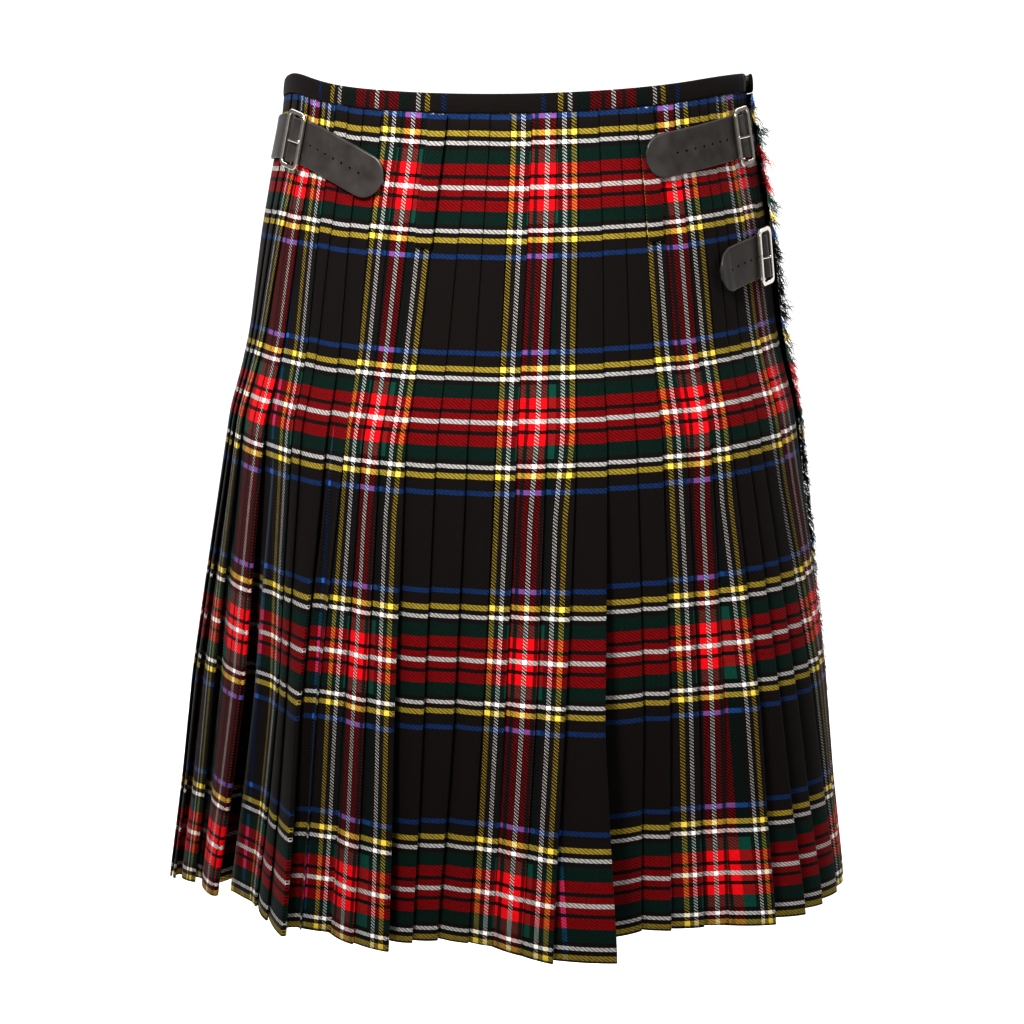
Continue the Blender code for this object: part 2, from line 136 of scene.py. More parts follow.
tartan = {
    "sett": 0.169,            # one repeat of the pattern, in metres
    # warp and weft yarns in a repeat, drawn two fifths coarser than the real 0.6 and 0.42 mm
    "threads": (200, 284),
    "warpWide": 0.27,         # half width of a warp float: the weft shows more than the warp
    # how bright a dull and a pale yarn stay among black ones: partly real, as the black fibres lie over them,
    # and partly painted shade in the gaps between the floats
    "fibreCoverAndGapShade": (0.24, 0.50),
    # half of the balanced repeat, from the middle of the white line: colour and where it ends
    "stripes": [("white", 0.0193), ("red", 0.0714), ("black", 0.105), ("red", 0.1975), ("green", 0.311),
                ("black", 0.3487), ("white", 0.3866), ("black", 0.4244), ("yellow", 0.4706),
                ("black", 0.563), ("blue", 0.609), ("black", 1.0)],
    "yarns": {"white": "E9E5E0", "red": "CC0E1C", "green": "104338", "yellow": "DDC352",
              "blue": "305E9E", "black": "171210"},
    # where along the cloth each repeat falls, counted in repeats from the first white line
    "weftDown": [0.0, 0.0658, 0.2296, 0.4020, 0.5710, 0.6100],
    "weftCount": [-0.389, 0.0, 1.0, 2.0, 3.0, 3.244],
}


def weftAt(down):
    return np.interp(down, tartan["weftDown"], tartan["weftCount"])


def linear(code):
    parts = [int(code[k:k + 2], 16) / 255 for k in (0, 2, 4)]
    return tuple(c / 12.92 if c <= 0.04045 else ((c + 0.055) / 1.055) ** 2.4 for c in parts) + (1.0,)


def addNode(tree, kind, settings=None, links=None):
    node = tree.nodes.new(kind)
    for key, value in (settings or {}).items():
        if isinstance(key, str) and hasattr(node, key):
            setattr(node, key, value)
        else:
            node.inputs[key].default_value = value
    for key, source in (links or {}).items():
        tree.links.new(source, node.inputs[key])
    return node


def feed(tree, node, values):
    # each value is a number for the socket in its place or another node's output
    for socket, value in zip(node.inputs, values):
        if isinstance(value, float):
            socket.default_value = value
        else:
            tree.links.new(value, socket)
    return node.outputs[0]


def maths(tree, operation, *values):
    return feed(tree, addNode(tree, "ShaderNodeMath", {"operation": operation}), values)


def mapRange(tree, *values):
    # value, from, to, and what those two become
    return feed(tree, addNode(tree, "ShaderNodeMapRange"), values)


def newMaterial(name):
    made = bpy.data.materials.new(name)
    made.use_nodes = True
    return made, made.node_tree, made.node_tree.nodes["Principled BSDF"]


def settMap(tree):
    # the place in the pattern: warp count and weft count
    uv = addNode(tree, "ShaderNodeUVMap", {"uv_map": "sett"}).outputs[0]
    axes = addNode(tree, "ShaderNodeSeparateXYZ", None, {0: uv})
    return uv, axes.outputs[0], axes.outputs[1]


def stripeColour(tree, count):
    # a ramp of hard-edged stripes, run forward and back as the balanced pattern does
    along = maths(tree, "MULTIPLY", maths(tree, "PINGPONG", count, 0.5), 2.0)
    ramp = addNode(tree, "ShaderNodeValToRGB", None, {0: along})
    ramp.color_ramp.interpolation = "CONSTANT"
    elements = ramp.color_ramp.elements
    starts = [0.0] + [end for _, end in tartan["stripes"][:-1]]
    for k, (start, (name, _)) in enumerate(zip(starts, tartan["stripes"])):
        element = elements[k] if k < 2 else elements.new(start)
        element.position, element.color = start, linear(tartan["yarns"][name])
    return ramp.outputs[0]


def worstedTwill(name):
    # Worsted wool, woven 2/2 twill and pressed: matt, with fine slanting lines where two colours cross.
    made, tree, shader = newMaterial(name)
    uv, *counts = settMap(tree)
    colours = [stripeColour(tree, count) for count in counts]
    yarns = [maths(tree, "MULTIPLY", count, float(across)) for count, across in zip(counts, tartan["threads"])]
    floors = [maths(tree, "FLOOR", place) for place in yarns]
    fromLeft = [maths(tree, "FRACT", place) for place in yarns]
    middles = [maths(tree, "ABSOLUTE", maths(tree, "SUBTRACT", part, 0.5)) for part in fromLeft]
    # the warp lies over two wefts and under the next two, one step on at each yarn
    turn = maths(tree, "FLOORED_MODULO", maths(tree, "SUBTRACT", *floors), 4.0)
    warpUp = maths(tree, "MULTIPLY", maths(tree, "LESS_THAN", turn, 1.5),
                   maths(tree, "LESS_THAN", middles[0], tartan["warpWide"]))
    cloth = addNode(tree, "ShaderNodeMix", {"data_type": "RGBA"}, {0: warpUp, 6: colours[1], 7: colours[0]})
    edge = addNode(tree, "ShaderNodeMix", {"data_type": "FLOAT"}, {0: warpUp, 2: middles[1], 3: middles[0]})
    height = mapRange(tree, edge.outputs[0], 0.0, 0.5, 1.0, 0.0)
    # soft mottling of the wool, about 3 mm across
    fuzz = addNode(tree, "ShaderNodeTexNoise", {"Scale": 60.0, "Detail": 3.0}, {"Vector": uv})
    shade = mapRange(tree, fuzz.outputs[0], 0.3, 0.7, 0.86, 1.1)
    greys = [addNode(tree, "ShaderNodeRGBToBW", None, {0: colour}).outputs[0] for colour in colours]
    bright = maths(tree, "MAXIMUM", *greys)
    alike = maths(tree, "DIVIDE", maths(tree, "MINIMUM", *greys), bright)
    # partly painted shade: a pale yarn crossing a dark one is darkened, for the dark fibres over it and for the
    # shade in the gaps between floats
    least = mapRange(tree, bright, 0.0, 0.8, *tartan["fibreCoverAndGapShade"])
    fibreCoverAndGapShade = mapRange(tree, alike, 0.0, 1.0, least, 1.0)
    # painted shade: each yarn's colour darkens towards its edges, where it dips under its neighbours, and is a
    # little lighter along its crown
    paintedThreadShade = mapRange(tree, height, 0.0, 1.0, 0.62, 1.06)
    toned = maths(tree, "MULTIPLY", maths(tree, "MULTIPLY", shade, paintedThreadShade), fibreCoverAndGapShade)
    worn = addNode(tree, "ShaderNodeVectorMath", {"operation": "SCALE"}, {0: cloth.outputs[2], 3: toned})
    bump = addNode(tree, "ShaderNodeBump", {"Strength": 0.3, "Distance": 0.00015}, {"Height": height})
    tree.links.new(worn.outputs[0], shader.inputs["Base Color"])
    tree.links.new(bump.outputs[0], shader.inputs["Normal"])
    shader.inputs["Roughness"].default_value = 0.85
    shader.inputs["Specular IOR Level"].default_value = 0.12
    shader.inputs["Sheen Weight"].default_value = 0.04
    shader.inputs["Sheen Roughness"].default_value = 0.5
    return made


def looseYarn(name):
    # Loose worsted yarn of the fringe: matt and hairy, one colour of the pattern each.
    made, tree, shader = newMaterial(name)
    uv, _, weft = settMap(tree)
    twist = addNode(tree, "ShaderNodeTexNoise", {"Scale": 400.0}, {"Vector": uv})
    shade = mapRange(tree, twist.outputs[0], 0.3, 0.7, 0.75, 1.15)
    worn = addNode(tree, "ShaderNodeVectorMath", {"operation": "SCALE"}, {0: stripeColour(tree, weft), 3: shade})
    tree.links.new(worn.outputs[0], shader.inputs["Base Color"])
    shader.inputs["Roughness"].default_value = 0.9
    shader.inputs["Specular IOR Level"].default_value = 0.2
    shader.inputs["Sheen Weight"].default_value = 0.2
    return made


def bridleLeather(name, code, rough):
    # Dyed cowhide, plated and waxed: a low sheen over fine pores, its gloss varying in soft clouds.
    made, tree, shader = newMaterial(name)
    place = addNode(tree, "ShaderNodeTexCoord").outputs["Object"]
    pores = addNode(tree, "ShaderNodeTexVoronoi", {"Scale": 1100.0, "feature": "F1"}, {"Vector": place})
    cloud = addNode(tree, "ShaderNodeTexNoise", {"Scale": 90.0, "Detail": 4.0}, {"Vector": place}).outputs[0]
    tone = mapRange(tree, cloud, 0.3, 0.7, 0.82, 1.2)
    dye = addNode(tree, "ShaderNodeVectorMath", {"operation": "SCALE", 0: linear(code)[:3]}, {3: tone})
    gloss = mapRange(tree, cloud, 0.3, 0.7, rough - 0.06, rough + 0.08)
    bump = addNode(tree, "ShaderNodeBump", {"Strength": 0.2, "Distance": 0.0001}, {"Height": pores.outputs[0]})
    tree.links.new(dye.outputs[0], shader.inputs["Base Color"])
    tree.links.new(gloss, shader.inputs["Roughness"])
    tree.links.new(bump.outputs[0], shader.inputs["Normal"])
    return made


def nickelPlate(name, code):
    # Die-cast buckle, nickel plated and polished: bright mirror with faint polishing haze.
    made, tree, shader = newMaterial(name)
    place = addNode(tree, "ShaderNodeTexCoord").outputs["Object"]
    haze = addNode(tree, "ShaderNodeTexNoise", {"Scale": 300.0, "Detail": 2.0}, {"Vector": place})
    tree.links.new(mapRange(tree, haze.outputs[0], 0.3, 0.7, 0.12, 0.2), shader.inputs["Roughness"])
    shader.inputs["Base Color"].default_value = linear(code)
    shader.inputs["Metallic"].default_value = 1.0
    return made


finishes = {"leather": "302C2A", "leatherRough": 0.38, "nickel": "EFE9DF"}

twill = worstedTwill("worsted_twill")
yarn = looseYarn("loose_worsted_yarn")
blackLeather = bridleLeather("waxed_black_leather", finishes["leather"], finishes["leatherRough"])
nickel = nickelPlate("polished_nickel_plate", finishes["nickel"])


def newPiece(name, points, faces, material, uv=None):
    mesh = bpy.data.meshes.new(name)
    mesh.from_pydata(np.asarray(points, float).tolist(), [], [list(map(int, f)) for f in faces])
    if uv is not None:
        layer = mesh.uv_layers.new(name="sett")
        layer.data.foreach_set("uv", np.asarray(uv, np.float32).ravel())
    mesh.update()
    mesh.polygons.foreach_set("use_smooth", np.ones(len(mesh.polygons), bool))
    piece = bpy.data.objects.new(name, mesh)
    bpy.context.scene.collection.objects.link(piece)
    mesh.materials.append(material)
    return piece


def clothGrid(name, grid, left, right, weft, wall=0.0005, keep=None):
    # grid[row, column] points; left and right are the warp counts that the faces on
    # either side of a column use, so that the pattern may break at a hidden fold
    rows, cols = grid.shape[:2]
    r, c = np.meshgrid(np.arange(rows - 1), np.arange(cols - 1), indexing="ij")
    if keep is not None:
        r, c = r[keep], c[keep]
    r, c = r.ravel(), c.ravel()
    faces = np.stack([r * cols + c, (r + 1) * cols + c, (r + 1) * cols + c + 1, r * cols + c + 1], axis=1)
    corners = [(left[r, c], weft[r, c]), (left[r + 1, c], weft[r + 1, c]),
               (right[r + 1, c + 1], weft[r + 1, c + 1]), (right[r, c + 1], weft[r, c + 1])]
    uv = np.stack([np.stack(pair, axis=1) for pair in corners], axis=1)
    piece = newPiece(name, grid.reshape(-1, 3), faces, twill, uv)
    thick = piece.modifiers.new("cloth thickness", "SOLIDIFY")
    thick.thickness = wall
    thick.offset = -1.0
    return piece


pleatSet = {
    "rows": 66,
    "downs": (0.030, 0.240, 0.450, 0.600),
    "start": (-84.0, -90.0, -94.0, -94.0),
    "end": (78.5, 87.0, 98.5, 103.5),
    "stepDown": (0.000, 0.200, 0.300, 0.450, 0.610),
    "stepDeep": (0.0019, 0.0021, 0.0048, 0.0076, 0.0088),
    "stepUnder": (0.0013, 0.0015, 0.0028, 0.0040, 0.0046),
    "curve": (1.8, 0.75),     # how the cloth comes forward after a fold: at once, or late after a deep one
    "spreadFrom": 0.18,
    # how far the cloth behind each fold lies under it
    "backLayer": (0.00105, 0.0011, 0.0015, 0.0019, 0.0022),
    # part of the repeat that lands on each fold, by distance down, and the folds each is used on
    "countDown": (0.23, 0.30, 0.45, 0.60),
    "foldCounts": {"A": (-0.1534, -0.1534, -0.1534, -0.1534), "B": (0.0345, 0.0525, 0.0525, 0.0525),
                   "C": (0.2375, 0.2580, 0.2520, 0.2520), "D": (0.437, 0.472, 0.500, 0.505),
                   "E": (0.5756, 0.5756, 0.5756, 0.5756), "F": (0.6933, 0.6933, 0.6933, 0.6933)},
    "order": "DDCBADEFABCDEFABCDEFABCDEFCBAD",
    # fold's angle at four heights, step share, how far the hem is drawn in at the fold and behind it (mm)
    "folds": [
        (-74.6, -83.1, -87.9, -87.6, 0.7, 0, 2), (-68.8, -78.4, -78.8, -80.6, 0.8, 13, 14),
        (-62.0, -72.1, -68.1, -68.0, 1.2, 35, 33), (-56.5, -60.5, -57.0, -59.8, 2.6, 30, 43),
        (-50.2, -50.4, -46.0, -47.2, 1.0, 37, 31), (-45.4, -47.5, -44.0, -44.2, 0.8, 19, 19),
        (-40.4, -40.4, -41.0, -40.5, 2.2, 0, 8), (-34.8, -35.5, -36.5, -36.6, 0.4, 16, 16),
        (-28.8, -31.4, -30.9, -30.6, 1.0, 20, 12), (-23.4, -27.3, -26.5, -26.4, 0.9, 6, 4),
        (-17.4, -21.7, -20.9, -20.1, 1.3, 0, 12), (-11.4, -15.3, -15.4, -15.9, 0.8, 17, 17),
        (-6.3, -9.0, -10.0, -11.7, 1.1, 23, 23), (-1.2, -3.4, -4.9, -6.5, 0.8, 21, 20),
        (3.8, 0.9, -1.0, -2.4, 1.0, 17, 14), (9.9, 6.7, 4.4, 2.3, 1.0, 2, 0),
        (15.1, 12.8, 9.6, 7.4, 1.0, -12, -10), (20.4, 19.1, 16.9, 18.2, 1.0, -17, 18),
        (25.7, 25.3, 24.2, 22.7, 1.0, 30, 30), (30.9, 31.2, 29.5, 28.2, 0.9, 25, 25),
        (35.6, 36.9, 35.5, 34.6, 1.2, 23, 22), (41.9, 43.4, 41.4, 40.1, 1.0, 20, 15),
        (47.1, 49.0, 50.8, 51.2, 1.1, 0, 9), (50.9, 54.0, 57.2, 60.5, 0.9, -2, 5),
        (54.6, 59.0, 63.6, 67.6, 1.0, 0, 3), (58.6, 63.4, 71.0, 76.5, 1.0, 0, 2),
        (63.5, 68.7, 79.0, 84.0, 1.0, 0, 1), (67.2, 75.2, 86.0, 90.0, 1.0, 0, 0),
        (70.8, 79.5, 90.5, 95.0, 1.0, 0, 0), (74.4, 83.5, 95.0, 100.0, 1.0, 0, 0),
    ],
}


def hemShare(down):
    free = 0.26
    return np.clip((down - free) / (kiltForm["length"] - free), 0, 1) ** 1.4


def pleatLine(values, down):
    return np.interp(down, fineDown, eased(pleatSet["downs"], values, 45))


def pleatedBack():
    draw = np.random.default_rng(11)
    down = np.linspace(kiltForm["clothTop"], kiltForm["length"], pleatSet["rows"])
    hem = hemShare(down) / 1000
    step = np.interp(down, pleatSet["stepDown"], pleatSet["stepDeep"])
    under = np.interp(down, pleatSet["stepDown"], pleatSet["stepUnder"])
    layer = np.interp(down, pleatSet["stepDown"], pleatSet["backLayer"])
    columns = []              # angle, out, behind, warp count to the left, to the right, weft shift

    def add(angle, out, behind, left, right=None, shift=0.0):
        columns.append([np.broadcast_to(v, down.shape) for v in
                        (angle, out, behind, left, left if right is None else right, shift)])

    low = pleatLine(pleatSet["start"], down)
    lowIn = np.zeros_like(down)
    deep = np.zeros_like(down)
    curve = pleatSet["curve"][0]
    lastFold = len(pleatSet["folds"]) - 1

    def countHere(kind):
        return np.interp(down, pleatSet["countDown"], pleatSet["foldCounts"][kind])

    for k, row in enumerate(pleatSet["folds"]):
        fold = pleatLine(row[:4], down)
        spread = 1 + (row[4] - 1) * hemShare(down + pleatSet["spreadFrom"])
        rate = arcRate(fold, down)
        foldCount = countHere(pleatSet["order"][k])
        foldIn = row[5] * hem
        shift = draw.uniform(-0.0035, 0.0035)

        def slicePoint(s):
            out = -deep * (1 - s) ** curve
            return low + (fold - low) * s, out, lowIn + (foldIn - lowIn) * s

        def countAt(s):
            return foldCount - (fold - low) * (1 - s) * rate / tartan["sett"]

        for s in (0.0, 0.14, 0.3, 0.46, 0.62, 0.77, 0.89, 0.96):
            add(*slicePoint(s), countAt(s), shift=shift)
        gap = layer * np.maximum(spread, 0.6)
        angle, out, inward = slicePoint(1.0)
        add(angle, out, inward, foldCount, shift=shift)
        add(angle + 0.42 * gap / rate, out - 0.22 * gap, inward, foldCount + 0.0025, shift=shift)
        add(angle + 0.42 * gap / rate, out - 0.72 * gap, inward, foldCount + 0.005, shift=shift)
        for s in (0.97, 0.8, 0.6, 0.44):
            angle, out, inward = slicePoint(s)
            add(angle, out - gap, inward, foldCount + (foldCount - countAt(s)), shift=shift)
        # the turn at the inner end of the fold, then forward under the fold to the next slice
        deep = step * spread
        nextLow = fold - np.minimum(under * spread / rate, 0.45 * (fold - low))
        nextIn = row[6] * hem
        after = min(k + 1, lastFold)
        nextWide = pleatLine(pleatSet["folds"][after][:4], down) - nextLow if k < lastFold else 1.0
        lowCount = countHere(pleatSet["order"][after]) - nextWide * rate / tartan["sett"]
        angle, out, inward = slicePoint(0.40)
        add(angle - 0.2 * gap / rate, out - 1.25 * gap, inward, foldCount + (foldCount - countAt(0.4)),
            lowCount - (nextLow - angle) * rate / tartan["sett"], shift=shift)
        endShare = (nextLow - low) / (fold - low)
        for s in (0.5, 0.68, 0.84):
            share = 0.4 + (s - 0.4) * (endShare - 0.4) / 0.6
            angle, out, inward = slicePoint(share)
            mix = (s - 0.4) / 0.6
            forward = out - 1.5 * gap * (1 - mix) - deep * mix
            add(angle, forward, inward + (nextIn - inward) * mix,
                lowCount - (nextLow - angle) * rate / tartan["sett"], shift=shift)
        low, lowIn = nextLow, nextIn
        curve = pleatSet["curve"][1 if row[4] > 1.5 else 0]
    stop = pleatLine(pleatSet["end"], down)
    for s in (0.0, 0.25, 0.5, 0.75, 1.0):
        rate = arcRate(stop, down)
        across = (stop - low) * s
        add(low + across, -deep * (1 - s) ** 3, lowIn * (1 - s), 0.5 + across * rate / tartan["sett"])
    angle, out, behind, left, right, shift = (np.array(v).T for v in zip(*columns))
    down = down[:, None] + np.zeros_like(angle)
    grid = kiltPoint(angle, down, out, behind, behind * 0.14)
    # clothGrid wants the count used by the face on the right of a column as left, and on its left as right
    piece = clothGrid("pleats", grid, right, left, weftAt(down) + shift)
    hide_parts("pleated_back")
    return piece


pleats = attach(pleatedBack(), "root")
print("pleats made:", len(pleats.data.polygons), "faces")

apronSet = {
    "rows": 62,
    "columns": 110,
    "wave": 0.0030,           # soft folds towards the hem
    "slit": (0.024, 0.062, 5.2),   # slot that the left waist strap comes out of: from, to, degrees wide
}


def overApron():
    length = kiltForm["length"]
    slitTop, slitFoot, slitWide = apronSet["slit"]
    rows = np.linspace(kiltForm["clothTop"], length, apronSet["rows"])
    downs = np.unique(np.concatenate([rows, [slitTop, slitFoot]]))
    along = np.linspace(0, 1, apronSet["columns"])
    grid, warp = [], []
    for down in downs:
        start = np.interp(down, pleatSet["downs"], pleatSet["start"]) - 0.1
        stop = ringAt(down, 3) - 360
        angle = np.concatenate([start + [0.0], start - slitWide + (stop - start + slitWide) * along])
        share = (angle - start) / (stop - start)
        low = down / length
        out = kiltForm["lap"] * np.clip(share * 4 - 2.6, 0, 1)
        fade = np.sin(np.pi * np.clip(share, 0, 1)) ** 0.5
        out = out + apronSet["wave"] * low ** 1.5 * np.sin(share * 17 + 0.6) * fade
        grid.append(kiltPoint(angle, down, out))
        warp.append(arcFrom(angle, down, -180.0) / tartan["sett"])
    grid, warp = np.array(grid)[:, ::-1], np.array(warp)[:, ::-1]
    weft = weftAt(downs)[:, None] + np.zeros_like(warp)
    keep = np.ones((len(downs) - 1, warp.shape[1] - 1), bool)
    inSlit = (downs[:-1] >= slitTop - 1e-6) & (downs[1:] <= slitFoot + 1e-6)
    keep[inSlit, -1] = False
    piece = clothGrid("apron_over", grid, warp, warp, weft, keep=keep)
    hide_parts("over_apron")
    return piece


def underApron():
    length = kiltForm["length"]
    downs = np.linspace(kiltForm["clothTop"], length, apronSet["rows"])
    along = np.linspace(0, 1, apronSet["columns"])
    grid, warp = [], []
    for down in downs:
        start = np.interp(down, pleatSet["downs"], pleatSet["end"]) + 0.1
        angle = start + (264 - start) * along
        out = -(kiltForm["lap"] + 0.0016) * np.clip(along * 3.0 - 0.2, 0, 1)
        grid.append(kiltPoint(angle, down, out))
        warp.append(arcFrom(angle, down, 180.0) / tartan["sett"])
    warp = np.array(warp)
    weft = weftAt(downs)[:, None] + np.zeros_like(warp)
    piece = clothGrid("apron_under", np.array(grid), warp, warp, weft)
    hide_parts("under_apron")
    return piece


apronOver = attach(overApron(), "root")
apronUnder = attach(underApron(), "root")
print("aprons made")

bandSet = {
    "height": 0.0135,
    "whiteAt": 24.5,          # angle of a white line
    "from": -275.0, "to": 264.0,
    # how far the band stands off the body at these angles
    "layAngles": (-275, -225, -186, -84, 78, 150, 264),
    "layOut": (0.0042, 0.0042, 0.0, 0.0, 0.0, -0.0058, -0.0058),
    # the section, as share of the height and mm out: down the outside, then up the inside
    "section": [(0.0, -1.0), (0.02, -0.35), (0.09, 0.2), (0.3, 0.5), (0.55, 0.55), (0.8, 0.35), (0.94, 0.0),
                (1.0, -0.6), (1.0, -1.6), (0.92, -2.2), (0.55, -2.5), (0.12, -2.3), (0.02, -1.7)],
}


def sweptBand():
    angle = np.linspace(bandSet["from"], bandSet["to"], 420)
    section = np.array(bandSet["section"])
    count = len(section)
    off = np.interp(angle, bandSet["layAngles"], bandSet["layOut"]) + 0.0003
    down = np.repeat(section[None, :, 0] * bandSet["height"], len(angle), 0)
    out = off[:, None] + section[None, :, 1] / 1000
    grid = kiltPoint(angle[:, None], down, out)
    warp = arcFrom(angle, 0.006, bandSet["whiteAt"]) / tartan["sett"]
    faces, uv = [], []
    for r in range(len(angle) - 1):
        for c in range(count):
            c2 = (c + 1) % count
            faces.append((r * count + c, r * count + c2, (r + 1) * count + c2, (r + 1) * count + c))
            for rr, cc in ((r, c), (r, c2), (r + 1, c2), (r + 1, c)):
                uv.append((warp[rr], 0.5 + down[rr, cc] / tartan["sett"]))
    last = (len(angle) - 1) * count
    faces += [tuple(range(count))[::-1], tuple(last + c for c in range(count))]
    uv += [(warp[0], 0.5)] * count + [(warp[-1], 0.5)] * count
    piece = newPiece("band", grid.reshape(-1, 3), faces, twill, uv)
    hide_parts("waistband")
    return piece


loopSet = {
    "angles": {"left": (-21.1, -22.6), "right": (30.7, 31.3)},   # of the left edge, at the top and the foot
    "wide": 0.0125, "top": 0.0146, "foot": 0.108,
    "swell": 0.0018,          # the loop stands off the pleats between its sewn ends
}


def beltLoop(side, edges):
    down = np.linspace(loopSet["top"], loopSet["foot"], 30)
    share = (down - loopSet["top"]) / (loopSet["foot"] - loopSet["top"])
    start = edges[0] + (edges[1] - edges[0]) * share
    rate = arcRate(start, down)
    grid, warp = [], []
    across = np.array([0.0, 0.02, 0.08, 0.3, 0.5, 0.7, 0.92, 0.98, 1.0])
    crown = np.array([-0.5, -0.1, 0.1, 0.25, 0.3, 0.25, 0.1, -0.1, -0.5]) / 1000
    for c, lift in zip(across, crown):
        angle = start + loopSet["wide"] * c / rate
        grid.append(kiltPoint(angle, down, 0.0016 + loopSet["swell"] * np.sin(np.pi * share) + lift))
        warp.append(0.5 + (c - 0.5) * loopSet["wide"] / tartan["sett"] + 0 * down)
    grid = np.array(grid).transpose(1, 0, 2)
    warp = np.array(warp).T
    weft = weftAt(down)[:, None] + 0 * warp
    piece = clothGrid("loop_" + side, grid, warp, warp, weft, wall=0.0011)
    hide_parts("belt_loop_" + side)
    return piece


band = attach(sweptBand(), "root")
loops = [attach(beltLoop(side, at), "root") for side, at in loopSet["angles"].items()]
print("band and loops made")

fringeSet = {
    "strands": 1700,
    "reach": 0.0165,
    "flatFrom": (0.190, 0.235),   # it stands off above this and lies flat below
    "thick": 0.00028,
    "seed": 5,
}


def fringeStrands():
    draw = np.random.default_rng(fringeSet["seed"])
    count = fringeSet["strands"]
    base = np.sort(draw.uniform(0.0150, kiltForm["length"] - 0.003, count))
    tuft = np.floor(base / 0.006).astype(int)
    tuftLift = draw.uniform(0.3, 1.25, 200)[tuft]
    tuftDroop = draw.uniform(0.5, 1.3, 200)[tuft]
    reach = fringeSet["reach"] * draw.uniform(0.7, 1.15, count)
    lift = 0.0085 * tuftLift * draw.uniform(0.5, 1.2, count)
    lift = lift * np.interp(base, fringeSet["flatFrom"], (1.0, 0.15))
    droop = 0.006 * tuftDroop * draw.uniform(0.3, 1.5, count)
    t = np.linspace(0, 1, 6)[None, :]
    edge = ringAt(base, 3)[:, None]
    rate = arcRate(edge, base[:, None])
    angle = edge - (0.0004 + reach[:, None] * t * (1 - 0.15 * t)) / rate
    down = np.minimum(base[:, None] + droop[:, None] * t ** 2, kiltForm["length"] + 0.002)
    wiggle = draw.normal(0, 0.0010, (count, 6)) * t
    out = kiltForm["lap"] - 0.0004 + lift[:, None] * t ** 1.3 + wiggle
    curl = draw.normal(0, 0.0012, (count, 6)) * t
    line = kiltPoint(angle, down + curl, out)
    ahead = np.gradient(line, axis=1)
    ahead /= np.linalg.norm(ahead, axis=2, keepdims=True)
    side = np.cross(ahead, np.array([0.0, 0.0, 1.0]))
    side /= np.linalg.norm(side, axis=2, keepdims=True)
    up = np.cross(side, ahead)
    thick = fringeSet["thick"] * np.array([1, 1, 0.95, 0.9, 0.8, 0.35])[None, :, None]
    rings = [line + thick * (math.cos(a) * side + math.sin(a) * up) for a in (0, 2.094, 4.189)]
    points = np.stack(rings, axis=2).reshape(-1, 3)
    faces, uv = [], []
    weft = weftAt(base)
    for k in range(count):
        first = k * 18        # six rings of three points in each yarn
        for r in range(5):
            for c in range(3):
                c2 = (c + 1) % 3
                here, on = first + r * 3, first + (r + 1) * 3
                faces.append((here + c, on + c, on + c2, here + c2))
                uv += [(0.5 + r * 0.01 + c * 0.003, weft[k])] * 4
        faces.append((first, first + 1, first + 2))
        faces.append((first + 17, first + 16, first + 15))
        uv += [(0.5, weft[k])] * 6
    piece = newPiece("fringe_yarns", points, faces, yarn, uv)
    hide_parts("fringe")
    return piece


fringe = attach(fringeStrands(), "root")
print("fringe made")

strapSet = {
    "thick": 0.0018,
    "half": 0.0155,
    "hole": 0.0009,           # radius of a punched hole
    "holeStep": 0.0078,
    # angle, down and height of the leather's middle off the cloth in mm, from the tip to the sewn end
    "paths": {
        "right_waist": [(31.7, 0.0482, 5.2), (37.1, 0.0482, 4.6), (42.5, 0.0474, 3.1), (48.0, 0.0466, 2.9),
                        (53.5, 0.0457, 2.9), (58.5, 0.0449, 2.9), (62.0, 0.0443, 2.9), (65.2, 0.0438, 2.8),
                        (68.2, 0.0432, 7.4), (71.4, 0.0427, 2.8), (75.5, 0.0420, 2.8), (79.0, 0.0415, 2.3),
                        (83.0, 0.0410, 1.7), (95.0, 0.0400, 1.6)],
        "left_waist": [(-32.0, 0.0650, 3.4), (-37.0, 0.0600, 3.2), (-43.0, 0.0540, 3.0), (-49.0, 0.0492, 2.9),
                       (-55.0, 0.0455, 2.9), (-60.6, 0.0437, 2.8), (-64.0, 0.0428, 7.4), (-67.4, 0.0424, 2.8),
                       (-73.0, 0.0428, 3.0), (-79.0, 0.0434, 2.7), (-83.6, 0.0436, 2.0), (-89.6, 0.0436, -2.6),
                       (-96.0, 0.0436, -4.3), (-103.0, 0.0436, -4.4)],
        "right_hip": [(50.0, 0.1370, 8.5), (53.0, 0.1362, 6.2), (56.2, 0.1352, 3.4), (60.0, 0.1336, 3.0),
                      (64.5, 0.1325, 2.9), (68.8, 0.1316, 2.8), (72.0, 0.1312, 7.4), (75.2, 0.1308, 2.8),
                      (78.8, 0.1303, 2.8), (82.0, 0.1300, 2.0), (85.5, 0.1300, 1.6), (95.0, 0.1300, 1.6)],
    },
    "holesFrom": {"right_waist": 0.0255, "left_waist": 0.019, "right_hip": 0.014},
    "holes": {"right_waist": 7, "left_waist": 7, "right_hip": 5},
}


def strapRun(path):
    marks = np.arange(len(path))
    fine = np.linspace(0, len(path) - 1, 12 * (len(path) - 1) + 1)
    table = np.array(path, float)
    part = fine - np.floor(fine)
    ease = np.floor(fine) + part * part * (3 - 2 * part)
    angle, down = (np.interp(fine, marks, table[:, k]) for k in (0, 1))
    lift = np.interp(ease, marks, table[:, 2]) / 1000
    middle = kiltPoint(angle, down, 0.0)
    run = np.concatenate([[0], np.cumsum(np.linalg.norm(np.diff(middle, axis=0), axis=1))])
    return run, angle, down, lift


def strapAt(track, s, offset, out):
    # a point on the strap: s along it, offset across it, out from its middle layer
    run, angle, down, lift = track
    a, d, h = (np.interp(s, run, v) for v in (angle, down, lift))
    a2, d2 = (np.interp(s + 0.004, run, v) for v in (angle, down))
    a1, d1 = (np.interp(s - 0.004, run, v) for v in (angle, down))
    rate = arcRate(a, d)
    arc, fall = (a2 - a1) * rate, d2 - d1
    size = math.hypot(arc, fall)
    across = np.array([-fall, arc]) / size * np.sign(arc)
    return kiltPoint(a + offset * across[0] / rate, d + offset * across[1], h + out)


